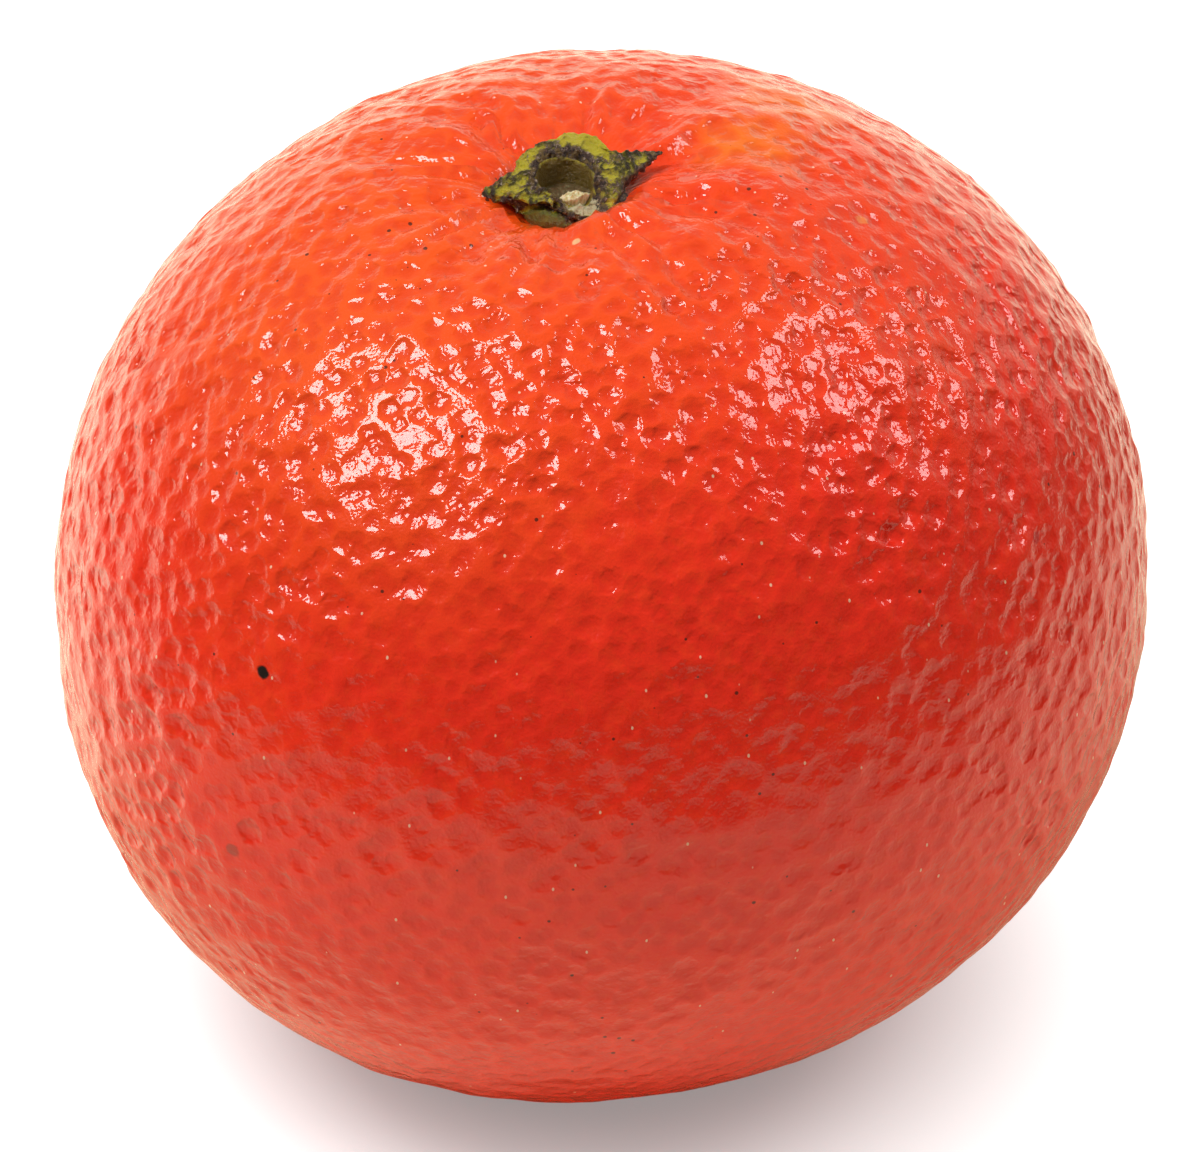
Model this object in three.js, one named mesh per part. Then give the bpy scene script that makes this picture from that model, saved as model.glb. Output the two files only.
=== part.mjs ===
// A whole clementine standing on its flat stylar end, in millimetres, +Z up along the stem axis.
// Three pieces: the fruit in its peel, the five-lobed calyx in the stem cavity, and the torn stem
// wood left in the calyx's socket. The origin is at the middle of the box's underside.
import * as THREE from "three";

// The fruit in its peel.
const EQUATOR_RADIUS = 29.45; // mean radius at the widest level
const HALF_HEIGHT = 27.7; // equator to either pole, before the poles are shaped
const MERIDIAN_POWER = 0.92; // below 1 gives fuller shoulders than an ellipse
const REST_RADIUS = 7; // outer radius of the flat ring that the fruit rests on
const STYLE_SCAR_RADIUS = 2.4; // shallow dimple where the style fell off
const STYLE_SCAR_DEPTH = 0.5;
const SIDE_RINGS = 28; // levels from the resting ring up to the stem cavity's edge
const CAVITY_RINGS = 15; // levels from there in to the stem axis, closer together inwards
const CAVITY_EDGE_RADIUS = 13;
const FRUIT_SECTORS = 60; // divisions round the stem axis

// How far the cross-section leaves a circle, as shares of its radius, and in which direction.
const FULL_SIDE = { share: 0.05, degrees: 30, lobes: 1 };
const LONG_WAY = { share: 0.048, degrees: 37, lobes: 2 };
const THREE_SIDED = { share: 0.008, degrees: -22, lobes: 3 };
const STEM_LEAN = -0.03; // sideways travel of the stem axis along X, per unit of height

// The stem cavity: a broad hollow, a steeper pit in it for the calyx, and soft radial furrows.
const CAVITY = { depth: 2.6, width: 7 };
const CALYX_PIT = { depth: 0.85, radius: 3.1, edge: 0.3 };
const FURROWS = { count: 10, height: 0.14, radius: 8.5, spread: 4.5 };

// The calyx, whose heights are measured up from its underside.
const CALYX_GAP = 0.3; // clearance to the peel under it
const SOCKET_RADIUS = 1.45; // the hole left by the stem
const CALYX_FOOT_RADIUS = 2.15;
const CALYX_WAIST_RADIUS = 2.5;
const SEPAL_ROOT_RADIUS = 2.75;
const RIM_SWELL = 0.1; // how far the corky rim round the socket stands up
const SEPAL_HEIGHT = 1.4; // underside of the sepals' edge
const SEPAL_THICKNESS = 0.45;
const SEPAL_TAPER = 1.2; // above 1 draws a sepal's sides in towards its point
const RIM_TILT = 0.2; // rise of the rim per millimetre towards +Y
const CALYX_SECTORS = 72;

// Each sepal: its direction, how far it reaches past the sepal root, and its half width.
const SEPALS = [
  { degrees: 20, reach: 2.7, halfWidth: 30 },
  { degrees: 72, reach: 0.9, halfWidth: 34 },
  { degrees: 138, reach: 0.4, halfWidth: 40 },
  { degrees: 184, reach: 2.05, halfWidth: 30 },
  { degrees: 332, reach: 0.75, halfWidth: 40 },
];

// The torn stem wood that lines the socket's floor.
const WOOD_GAP = 0.3; // clearance to the socket's wall
const WOOD_HEIGHT = 0.8; // at its outer edge; it sinks towards the middle
const WOOD_TEAR_RISE = 0.5; // extra height of the torn side
const WOOD_TEAR_DEGREES = 300;
const WOOD_SECTORS = 24;

const radians = THREE.MathUtils.degToRad;

// Height of the widest level, so that the resting ring lies at the height of zero.
const EQUATOR_HEIGHT = HALF_HEIGHT * Math.sin(angleAt(REST_RADIUS)) ** MERIDIAN_POWER;
const POLE_HEIGHT = EQUATOR_HEIGHT + HALF_HEIGHT;

// A wave round the stem axis that adds a share of the radius.
function wave({ share, degrees, lobes }, angle) {
  return share * Math.cos(lobes * (angle - radians(degrees)));
}

// Depth of the stem cavity below the round body at a radius.
function cavityDepth(radius) {
  const broad = CAVITY.depth * Math.exp(-((radius / CAVITY.width) ** 2));
  const pit = CALYX_PIT.depth / (1 + Math.exp((radius - CALYX_PIT.radius) / CALYX_PIT.edge));
  return broad + pit;
}

// Turns a closed profile of (radius, height) pairs round +Z, then moves each point by a rule.
function turned(profile, sectors, move) {
  const points = profile.map(([radius, height]) => new THREE.Vector2(radius, height));
  const geometry = new THREE.LatheGeometry(points, sectors);
  geometry.rotateX(Math.PI / 2);
  const place = geometry.getAttribute("position");
  const point = new THREE.Vector3();
  for (let i = 0; i < place.count; i++) {
    point.fromBufferAttribute(place, i);
    move(point, Math.hypot(point.x, point.y), Math.atan2(point.y, point.x));
    place.setXYZ(i, point.x, point.y, point.z);
  }
  geometry.computeVertexNormals();
  return geometry;
}

// The angle up from the equator at which the round body has a given radius.
function angleAt(radius) {
  return Math.acos((radius / EQUATOR_RADIUS) ** (1 / MERIDIAN_POWER));
}

// The point of the fruit's profile at an angle up from the equator.
function profilePoint(angle) {
  const rise = Math.sign(angle) * Math.abs(Math.sin(angle)) ** MERIDIAN_POWER;
  const radius = EQUATOR_RADIUS * Math.cos(angle) ** MERIDIAN_POWER;
  const dip = angle > 0 ? cavityDepth(radius) : 0;
  return [radius, EQUATOR_HEIGHT + HALF_HEIGHT * rise - dip];
}

// The fruit's profile from the underside's middle, round the equator, to the stem end.
function fruitProfile() {
  const profile = [
    [0, STYLE_SCAR_DEPTH],
    [STYLE_SCAR_RADIUS / 2, (3 / 4) * STYLE_SCAR_DEPTH],
    [STYLE_SCAR_RADIUS, 0],
    [(STYLE_SCAR_RADIUS + REST_RADIUS) / 2, 0],
    [REST_RADIUS, 0],
  ];
  const first = -angleAt(REST_RADIUS);
  const last = angleAt(CAVITY_EDGE_RADIUS);
  for (let ring = 1; ring <= SIDE_RINGS; ring++) {
    profile.push(profilePoint(first + (ring / SIDE_RINGS) * (last - first)));
  }
  for (let ring = 1; ring < CAVITY_RINGS; ring++) {
    const share = (1 - ring / CAVITY_RINGS) ** 1.3;
    profile.push(profilePoint(angleAt(CAVITY_EDGE_RADIUS * share)));
  }
  profile.push([0, POLE_HEIGHT - cavityDepth(0)]);
  return profile;
}

// Gives the round body its fuller side, its long way, its lean and its furrows.
function shapeFruit(point, radius, angle) {
  const upper = THREE.MathUtils.smoothstep(point.z, EQUATOR_HEIGHT, POLE_HEIGHT);
  const near = Math.exp(-(((radius - FURROWS.radius) / FURROWS.spread) ** 2));
  const fade = radius > 0 ? near * upper : 0;
  const full =
    1 + wave(FULL_SIDE, angle) + wave(LONG_WAY, angle) + wave(THREE_SIDED, angle);
  point.x = point.x * full + STEM_LEAN * (point.z - EQUATOR_HEIGHT);
  point.y *= full;
  point.z += FURROWS.height * Math.cos(FURROWS.count * angle) * fade;
}

// How far the calyx reaches past the sepals' roots in a direction: pointed lobes.
function sepalReach(angle) {
  const reaches = SEPALS.map(({ degrees, reach, halfWidth }) => {
    const turn = THREE.MathUtils.radToDeg(angle) - degrees + 180;
    const off = Math.abs(THREE.MathUtils.euclideanModulo(turn, 360) - 180);
    return reach * Math.max(0, 1 - off / halfWidth) ** SEPAL_TAPER;
  });
  return Math.max(...reaches);
}

// The calyx: a thick ring round the socket whose upper edge spreads into five sepals.
function calyxGeometry(floor) {
  const sepalTop = SEPAL_HEIGHT + SEPAL_THICKNESS;
  const profile = [
    [SOCKET_RADIUS, 0],
    [CALYX_FOOT_RADIUS, 0],
    [CALYX_WAIST_RADIUS, SEPAL_HEIGHT / 2],
    [SEPAL_ROOT_RADIUS, SEPAL_HEIGHT],
    [SEPAL_ROOT_RADIUS, sepalTop],
    [CALYX_FOOT_RADIUS, sepalTop + RIM_SWELL],
    [SOCKET_RADIUS + 2 * RIM_SWELL, sepalTop + RIM_SWELL],
    [SOCKET_RADIUS, sepalTop],
    [SOCKET_RADIUS, 0],
  ];
  return turned(profile, CALYX_SECTORS, (point, radius, angle) => {
    const edge = THREE.MathUtils.smoothstep(radius, CALYX_WAIST_RADIUS, SEPAL_ROOT_RADIUS);
    const stretch = 1 + (edge * sepalReach(angle)) / radius;
    const lifted = THREE.MathUtils.smoothstep(point.z, 0, SEPAL_HEIGHT);
    point.z += floor + lifted * RIM_TILT * Math.max(point.y, -SOCKET_RADIUS);
    point.x *= stretch;
    point.y *= stretch;
  });
}

// The stem wood: a low plug in the socket, torn higher on one side.
function woodGeometry(floor) {
  const radius = SOCKET_RADIUS - WOOD_GAP;
  const profile = [
    [0, 0],
    [radius, 0],
    [radius, WOOD_HEIGHT],
    [0, WOOD_HEIGHT / 2],
  ];
  return turned(profile, WOOD_SECTORS, (point, reach, angle) => {
    const side = Math.max(0, Math.cos(angle - radians(WOOD_TEAR_DEGREES)));
    const top = point.z > 0 ? WOOD_TEAR_RISE * side * (reach / radius) : 0;
    point.z += floor + top;
  });
}

const peelFinish = new THREE.MeshStandardMaterial({
  color: "#e2421f", roughness: 0.25, metalness: 0,
});
const calyxFinish = new THREE.MeshStandardMaterial({
  color: "#84842c", roughness: 0.7, metalness: 0,
});
const woodFinish = new THREE.MeshStandardMaterial({
  color: "#cdbf93", roughness: 0.85, metalness: 0,
});

function named(name, geometry, material) {
  const mesh = new THREE.Mesh(geometry, material);
  mesh.name = name;
  return mesh;
}

// The stem axis leans, so the calyx and its wood stand over the leaning axis's upper end.
const pitFloor = POLE_HEIGHT - cavityDepth(0) + CALYX_GAP;
const stemEnd = new THREE.Group();
stemEnd.position.x = STEM_LEAN * (pitFloor - EQUATOR_HEIGHT);
stemEnd.add(named("calyx", calyxGeometry(pitFloor), calyxFinish));
stemEnd.add(named("stem_wood", woodGeometry(pitFloor), woodFinish));

const fruit = named("fruit", turned(fruitProfile(), FRUIT_SECTORS, shapeFruit), peelFinish);

// The fuller side moves the middle away from the stem axis, so the whole is centred on its box.
const clementine = new THREE.Group();
clementine.add(fruit, stemEnd);
const middle = new THREE.Box3().setFromObject(clementine).getCenter(new THREE.Vector3());
clementine.position.set(-middle.x, -middle.y, 0);

const part = new THREE.Group();
part.add(clementine);
export default part;
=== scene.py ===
"""Looks of a whole clementine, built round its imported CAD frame.

Three pieces stand for the frame's three nodes: the pitted peel, the lobed calyx in the stem cavity
and the torn stem wood in the calyx's socket. All lengths are in metres, +Z up along the stem axis.
"""

import logging
import math
from dataclasses import dataclass, field
from enum import Enum

import bpy
import numpy as np
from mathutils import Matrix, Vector, kdtree, noise


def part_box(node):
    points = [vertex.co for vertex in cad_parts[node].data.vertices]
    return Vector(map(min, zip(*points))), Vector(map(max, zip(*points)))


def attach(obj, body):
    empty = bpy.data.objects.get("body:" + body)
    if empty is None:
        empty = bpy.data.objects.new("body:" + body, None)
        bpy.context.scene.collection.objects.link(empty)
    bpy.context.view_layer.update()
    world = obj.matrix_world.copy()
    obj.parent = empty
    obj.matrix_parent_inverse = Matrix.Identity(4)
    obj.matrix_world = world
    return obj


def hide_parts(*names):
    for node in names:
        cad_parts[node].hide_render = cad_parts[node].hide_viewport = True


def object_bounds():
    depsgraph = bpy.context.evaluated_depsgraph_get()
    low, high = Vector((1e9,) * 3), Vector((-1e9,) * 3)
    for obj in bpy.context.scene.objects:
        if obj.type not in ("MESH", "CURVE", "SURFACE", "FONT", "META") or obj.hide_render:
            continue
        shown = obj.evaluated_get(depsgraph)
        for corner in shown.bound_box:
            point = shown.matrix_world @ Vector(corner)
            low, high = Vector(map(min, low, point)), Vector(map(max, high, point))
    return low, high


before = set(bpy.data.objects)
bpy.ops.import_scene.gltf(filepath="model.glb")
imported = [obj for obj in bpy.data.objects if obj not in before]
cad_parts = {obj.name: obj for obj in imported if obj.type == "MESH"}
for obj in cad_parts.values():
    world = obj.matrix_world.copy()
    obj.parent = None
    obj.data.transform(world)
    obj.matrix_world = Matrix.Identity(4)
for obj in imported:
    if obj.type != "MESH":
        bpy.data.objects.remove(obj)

MM = 0.001
TURN = 2 * math.pi
BODY = "root"
Colour = tuple[float, float, float]
Socket = bpy.types.NodeSocket

log = logging.getLogger("clementine")
cad_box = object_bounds()


# ---------------------------------------------------------------------------------------------
# Shared shape helpers


def smooth_step(value: np.ndarray, low: float, high: float) -> np.ndarray:
    """Eases from 0 to 1 as a value goes from low to high.

    Args:
        value: Values to ease.
        low: Where the result leaves 0.
        high: Where the result reaches 1.

    Returns:
        The eased values, the same shape as value.
    """
    share = np.clip((value - low) / (high - low), 0.0, 1.0)
    return share * share * (3.0 - 2.0 * share)


def bell(value: np.ndarray, middle: float, spread: float) -> np.ndarray:
    """A bell curve of height 1.

    Args:
        value: Values to weigh.
        middle: Where the bell is 1.
        spread: Distance at which it falls to 1/e.

    Returns:
        The weights, the same shape as value.
    """
    return np.exp(-(((value - middle) / spread) ** 2))


def angle_between(angle: np.ndarray, degrees: float) -> np.ndarray:
    """Signed angle in radians from a direction in degrees, wrapped to half a turn each way."""
    return (angle - math.radians(degrees) + math.pi) % TURN - math.pi


@dataclass(frozen=True)
class Ripple:
    """Band-limited random relief: many plane waves of about one wavelength."""

    wavelength: float
    height: float
    seed: int
    waves: int = 28

    def at(self, points: np.ndarray) -> np.ndarray:
        """Relief at points in space.

        Args:
            points: Array of positions, one row each.

        Returns:
            One height for each point, with a standard deviation of about half the height.
        """
        random = np.random.default_rng(self.seed)
        heading = random.normal(size=(self.waves, 3))
        heading /= np.linalg.norm(heading, axis=1, keepdims=True)
        pitch = TURN / (self.wavelength * random.uniform(0.7, 1.4, (self.waves, 1)))
        phase = random.uniform(0, TURN, self.waves)
        total = np.cos(points @ (heading * pitch).T + phase).sum(axis=1)
        return self.height * total / math.sqrt(2 * self.waves)


def fractal(points: np.ndarray, size: float, octaves: int = 3, seed: float = 0.0) -> np.ndarray:
    """Fractal noise at points in space.

    Args:
        points: Array of positions, one row each.
        size: Size of the largest features.
        octaves: How many finer layers are added.
        seed: Moves the pattern, so that each use has its own.

    Returns:
        One value for each point, roughly from -1 to 1.
    """
    shift = Vector((seed, -seed, seed))
    return np.array([
        noise.fractal(Vector(point) / size + shift, 1.0, 2.0, octaves) for point in points
    ])


def new_piece(name: str, points: np.ndarray, faces: np.ndarray) -> bpy.types.Object:
    """Makes a smooth-shaded mesh object in the scene.

    Args:
        name: The piece's name.
        points: Array of positions, one row each.
        faces: Array of vertex indices, one row for each face.

    Returns:
        The new object, with its place in its mesh.
    """
    mesh = bpy.data.meshes.new(name)
    mesh.from_pydata(points.tolist(), [], faces.tolist())
    mesh.polygons.foreach_set("use_smooth", np.ones(len(faces), bool))
    mesh.update()
    piece = bpy.data.objects.new(name, mesh)
    bpy.context.scene.collection.objects.link(piece)
    return piece


def round_points(axis: Vector, radius: np.ndarray, angle: np.ndarray, height: np.ndarray) -> np.ndarray:
    """Points round an upright axis.

    Args:
        axis: The axis's foot.
        radius: Distances from the axis.
        angle: Angles round it, in radians.
        height: Heights above its foot.

    Returns:
        Positions, one row each.
    """
    x = axis.x + radius * np.cos(angle)
    y = axis.y + radius * np.sin(angle)
    return np.stack([x, y, axis.z + height], axis=1)


def ring_faces(rows: int, columns: int, flipped: bool = False) -> np.ndarray:
    """Joins rings of points with quads.

    Args:
        rows: How many rings.
        columns: Points in each ring.
        flipped: Whether the quads face the other way round.

    Returns:
        Four indices for each quad.
    """
    index = np.arange(rows * columns).reshape(rows, columns)
    here, after = index[:-1], index[1:]
    corners = [here, np.roll(here, -1, 1), np.roll(after, -1, 1), after]
    if flipped:
        corners = corners[:1] + corners[:0:-1]
    return np.stack(corners, axis=2).reshape(-1, 4)


def store(piece: bpy.types.Object, name: str, kind: str, domain: str, values: np.ndarray) -> None:
    """Stores a named attribute on a piece's mesh.

    Args:
        piece: The piece that gets the attribute.
        name: The attribute's name, which its material reads.
        kind: Blender's attribute type, FLOAT or FLOAT_VECTOR.
        domain: Blender's attribute domain, such as POINT, FACE or CORNER.
        values: One value or vector for each element of the domain.
    """
    attribute = piece.data.attributes.new(name, kind, domain)
    slot = "vector" if kind == "FLOAT_VECTOR" else "value"
    attribute.data.foreach_set(slot, values.astype(np.float32).ravel())


def point_normals(piece: bpy.types.Object) -> np.ndarray:
    """Unit normals at a piece's vertices.

    Args:
        piece: The piece.

    Returns:
        One normal for each vertex.
    """
    normals = np.zeros(len(piece.data.vertices) * 3, np.float32)
    piece.data.vertex_normals.foreach_get("vector", normals)
    return normals.reshape(-1, 3).astype(float)


def move_points(piece: bpy.types.Object, points: np.ndarray) -> None:
    """Puts a piece's vertices at new positions, one row each."""
    piece.data.vertices.foreach_set("co", points.astype(np.float32).ravel())
    piece.data.update()


# ---------------------------------------------------------------------------------------------
# Material graphs


class Noise(Enum):
    """The two procedural patterns that the finishes use."""

    CLOUDS = "ShaderNodeTexNoise"
    CELLS = "ShaderNodeTexVoronoi"


class Nodes:
    """A node tree, built through short calls that return sockets."""

    def __init__(self, tree: bpy.types.NodeTree, coordinates: str) -> None:
        """Empties a tree and gives it its coordinates.

        Args:
            tree: The tree that is built.
            coordinates: Blender's name of the coordinates that its patterns use.
        """
        self.tree = tree
        self.tree.nodes.clear()
        self.place = self.tree.nodes.new("ShaderNodeTexCoord").outputs[coordinates]

    def feed(self, socket: Socket, value: Socket | float | Colour | None) -> None:
        """Gives an input its value.

        Args:
            socket: The input.
            value: A socket that is linked to it, or a value; None leaves its default.
        """
        if isinstance(value, bpy.types.NodeSocket):
            self.tree.links.new(value, socket)
        elif isinstance(value, tuple) and len(value) == 3 and socket.type == "RGBA":
            socket.default_value = (*value, 1.0)
        elif value is not None:
            socket.default_value = value

    def axes(self, vector: Socket | None = None) -> bpy.types.NodeOutputs:
        """Splits a vector into its X, Y and Z.

        Args:
            vector: The vector, or None for the coordinates.

        Returns:
            The three axes.
        """
        node = self.tree.nodes.new("ShaderNodeSeparateXYZ")
        self.feed(node.inputs[0], vector or self.place)
        return node.outputs

    def math(self, operation: str, first: Socket | float, second: Socket | float = 0.0,
             third: Socket | float = 0.0) -> Socket:
        """Adds a Math node.

        Args:
            operation: Blender's name of the operation.
            first: First input.
            second: Second input, where the operation has one.
            third: Third input, where the operation has one.

        Returns:
            The result.
        """
        node = self.tree.nodes.new("ShaderNodeMath")
        node.operation = operation
        for socket, value in zip(node.inputs, (first, second, third)):
            self.feed(socket, value)
        return node.outputs[0]

    def times(self, first: Socket | float, second: Socket | float) -> Socket:
        """Multiplies two values."""
        return self.math("MULTIPLY", first, second)

    def total(self, *terms: Socket | float) -> Socket:
        """Adds up several values.

        Args:
            terms: The values.

        Returns:
            Their sum.
        """
        result = terms[0]
        for term in terms[1:]:
            result = self.math("ADD", result, term)
        return result

    def vector(self, operation: str, first: Socket,
               second: Socket | Colour | None = None) -> bpy.types.Node:
        """Adds a Vector Math node.

        Args:
            operation: Blender's name of the operation.
            first: First input.
            second: Second input, where the operation has one.

        Returns:
            The node, since its results differ in kind.
        """
        node = self.tree.nodes.new("ShaderNodeVectorMath")
        node.operation = operation
        self.feed(node.inputs[0], first)
        self.feed(node.inputs[1], second)
        return node

    def ease(self, value: Socket, low: float, high: float,
             start: float = 0.0, end: float = 1.0) -> Socket:
        """Eases a value smoothly from start to end.

        Args:
            value: What is eased.
            low: Where the result is start.
            high: Where the result is end.
            start: First result.
            end: Last result.

        Returns:
            The eased value.
        """
        node = self.tree.nodes.new("ShaderNodeMapRange")
        node.interpolation_type = "SMOOTHSTEP"
        for socket, setting in zip(node.inputs, (value, low, high, start, end)):
            self.feed(socket, setting)
        return node.outputs[0]

    def blend(self, share: Socket | float, first: Socket | Colour, second: Socket | Colour) -> Socket:
        """Mixes two colours.

        Args:
            share: How much of the second colour, from 0 to 1.
            first: First colour.
            second: Second colour.

        Returns:
            The mixed colour.
        """
        node = self.tree.nodes.new("ShaderNodeMix")
        node.data_type = "RGBA"
        colours = [socket for socket in node.inputs if socket.type == "RGBA"]
        self.feed(node.inputs[0], share)
        self.feed(colours[0], first)
        self.feed(colours[1], second)
        return next(socket for socket in node.outputs if socket.type == "RGBA")

    def pattern(self, kind: Noise, size: float, detail: float = 2.0, shift: float = 0.0,
                stretch: Colour = (1.0, 1.0, 1.0), rough: float = 0.5,
                place: Socket | None = None) -> Socket:
        """A procedural pattern in the object's own space.

        Args:
            kind: Which pattern.
            size: Size of its features.
            detail: How many finer layers it has.
            shift: Moves it, so that each use has its own.
            stretch: Squeezes it along X, Y and Z.
            rough: How strong the finer layers are.
            place: Coordinates to use instead of the object's own.

        Returns:
            Clouds from 0 to 1, or the distance to the nearest cell's centre in cell sizes.
        """
        node = self.tree.nodes.new(kind.value)
        scaled = self.vector("MULTIPLY", place or self.place, stretch).outputs[0]
        moved = self.vector("ADD", scaled, (shift, -shift, 0.7 * shift)).outputs[0]
        self.feed(node.inputs["Vector"], moved)
        node.inputs["Scale"].default_value = 1.0 / size
        node.inputs["Detail"].default_value = detail
        node.inputs["Roughness"].default_value = rough
        return node.outputs["Distance" if kind is Noise.CELLS else 0]

    def attribute(self, name: str) -> bpy.types.Node:
        """Reads a mesh attribute.

        Args:
            name: The attribute's name.

        Returns:
            The node, since a vector and a number come from different outputs.
        """
        node = self.tree.nodes.new("ShaderNodeAttribute")
        node.attribute_name = name
        return node

    def bump(self, height: Socket) -> Socket:
        """Turns a height in millimetres into a normal.

        Args:
            height: The relief.

        Returns:
            The normal.
        """
        node = self.tree.nodes.new("ShaderNodeBump")
        node.inputs["Strength"].default_value = 1.0
        node.inputs["Distance"].default_value = MM
        self.feed(node.inputs["Height"], height)
        return node.outputs["Normal"]


class Graph(Nodes):
    """A material's node tree with one surface shader."""

    def __init__(self, name: str) -> None:
        """Starts the material.

        Args:
            name: The material's name.
        """
        self.material = bpy.data.materials.new(name)
        self.material.use_nodes = True
        super().__init__(self.material.node_tree, "Object")
        self.shader = self.tree.nodes.new("ShaderNodeBsdfPrincipled")
        output = self.tree.nodes.new("ShaderNodeOutputMaterial")
        self.tree.links.new(self.shader.outputs["BSDF"], output.inputs["Surface"])

    def set(self, **values: Socket | float | Colour) -> None:
        """Sets the surface shader's inputs, whose names are given with underscores for spaces."""
        for name, value in values.items():
            self.feed(self.shader.inputs[name.replace("_", " ")], value)


# ---------------------------------------------------------------------------------------------
# Finishes


@dataclass(frozen=True)
class Blemish:
    """A small mark on the peel, placed by its direction from the fruit's middle."""

    azimuth: float
    elevation: float
    radius: float
    colour: Colour
    strength: float = 1.0

    @property
    def heading(self) -> tuple[float, float, float]:
        """The mark's direction as a unit vector."""
        azimuth, elevation = math.radians(self.azimuth), math.radians(self.elevation)
        level = math.cos(elevation)
        return math.cos(azimuth) * level, math.sin(azimuth) * level, math.sin(elevation)


@dataclass(frozen=True)
class PeelFinish:
    """Waxed reddish-orange peel with pits darkened by painted shade, fine creases and small marks."""

    red: Colour = (0.94, 0.026, 0.0080)
    orange: Colour = (0.97, 0.105, 0.006)
    # The colour of the painted shade in the pits.
    deep: Colour = (0.70, 0.011, 0.003)
    amber: Colour = (1.0, 0.21, 0.012)
    speck: Colour = (0.03, 0.012, 0.006)
    fleck: Colour = (0.95, 0.66, 0.45)
    base_roughness: float = 0.34
    wax_roughness: float = 0.058
    wax_ior: float = 1.52
    base_gloss: float = 0.12
    grain_size: float = 0.32 * MM
    grain_height: float = 0.030
    pore_size: float = 0.15 * MM
    pore_height: float = 0.016
    crease_size: float = 0.80 * MM
    crease_ring: float = 6.5 * MM
    crease_draw: float = 0.38
    pit_share: float = 0.68
    pit_shade_share: float = 0.38
    mean_radius: float = 28 * MM
    amber_patches: tuple[tuple[float, float, float], ...] = (
        (8.0 * MM, 3.5 * MM, 26.0 * MM),
        (10.0 * MM, 9.0 * MM, 24.0 * MM),
    )
    crease_height: float = 0.32
    swarm: tuple[float, float, float] = (-9.6 * MM, -9.5 * MM, 24.3 * MM)
    blemishes: tuple[Blemish, ...] = ()

    def material(self, stem: Vector, middle: Vector, height: float) -> bpy.types.Material:
        """Builds the peel's material.

        Args:
            stem: Where the stem axis meets the calyx.
            middle: The fruit's middle.
            height: The fruit's height.

        Returns:
            The material.
        """
        graph = Graph("peel_waxed")
        pits, depth = self.pits(graph)
        colour = self.colour(graph, pits, middle, height)
        grain = graph.pattern(Noise.CLOUDS, self.grain_size, 1.5, shift=3.1)
        pores = graph.pattern(Noise.CLOUDS, self.pore_size, 0.0, shift=7.7)
        relief = graph.total(
            graph.times(depth, -self.pit_share),
            graph.times(grain, self.grain_height),
            graph.times(pores, self.pore_height),
            graph.times(self.creases(graph, stem), self.crease_height),
        )
        normal = graph.bump(relief)
        graph.set(
            Base_Color=colour,
            Roughness=graph.ease(grain, 0.3, 0.7, self.base_roughness - 0.05, self.base_roughness + 0.06),
            Specular_IOR_Level=self.base_gloss,
            Normal=normal,
            Coat_Weight=1.0,
            Coat_Roughness=self.wax_roughness,
            Coat_IOR=self.wax_ior,
            Coat_Normal=normal,
        )
        return graph.material

    def pits(self, graph: Graph) -> tuple[Socket, Socket]:
        """Rebuilds the oil-gland pits from the mesh's attributes.

        Args:
            graph: The material's graph.

        Returns:
            How far into a pit a point lies, from 0 to 1, and the pits' depth in millimetres.
        """
        depths = graph.axes(graph.attribute(Glands.DEPTHS).outputs["Vector"])
        clouds = graph.pattern(Noise.CLOUDS, 0.42 * MM, 0.0, shift=12.0)
        ragged = graph.math("MULTIPLY_ADD", clouds, 0.55, 0.725)
        bowls, sunk = [], []
        for index, name in enumerate(Glands.OFFSETS):
            away = graph.vector("LENGTH", graph.attribute(name).outputs["Vector"]).outputs["Value"]
            edge = graph.math("POWER", graph.times(away, ragged), Glands.FLATNESS)
            inside = graph.math("MAXIMUM", graph.math("SUBTRACT", 1.0, edge), 0.0)
            bowl = graph.times(inside, inside)
            bowls.append(bowl)
            sunk.append(graph.times(bowl, depths[index]))
        return graph.math("MINIMUM", graph.total(*bowls), 1.0), graph.total(*sunk)

    def creases(self, graph: Graph, stem: Vector) -> Socket:
        """Fine creases that run out from the calyx and die away over the shoulder.

        Args:
            graph: The material's graph.
            stem: Where the stem axis meets the calyx.

        Returns:
            The creases' relief, from 0 to 1.
        """
        flat = graph.vector("MULTIPLY", graph.place, (1.0, 1.0, 0.0)).outputs[0]
        spoke = graph.vector("SUBTRACT", flat, (stem.x, stem.y, 0.0)).outputs[0]
        radius = graph.vector("LENGTH", spoke).outputs["Value"]
        unit = graph.vector("NORMALIZE", spoke).outputs[0]
        around = graph.vector("MULTIPLY", unit, (self.crease_ring, self.crease_ring, 0.0)).outputs[0]
        outward = graph.tree.nodes.new("ShaderNodeCombineXYZ")
        graph.feed(outward.inputs["Z"], graph.times(radius, self.crease_draw))
        place = graph.vector("ADD", around, outward.outputs[0]).outputs[0]
        folds = graph.pattern(Noise.CLOUDS, self.crease_size, 2.0, shift=0.3, place=place)
        near = graph.ease(radius, 3.0 * MM, 4.4 * MM)
        far = graph.ease(radius, 7.0 * MM, 17 * MM, 1.0, 0.0)
        upper = graph.ease(graph.axes()["Z"], stem.z - 14 * MM, stem.z - 8 * MM)
        ring = graph.times(near, far)
        return graph.times(folds, graph.times(upper, ring))

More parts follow.
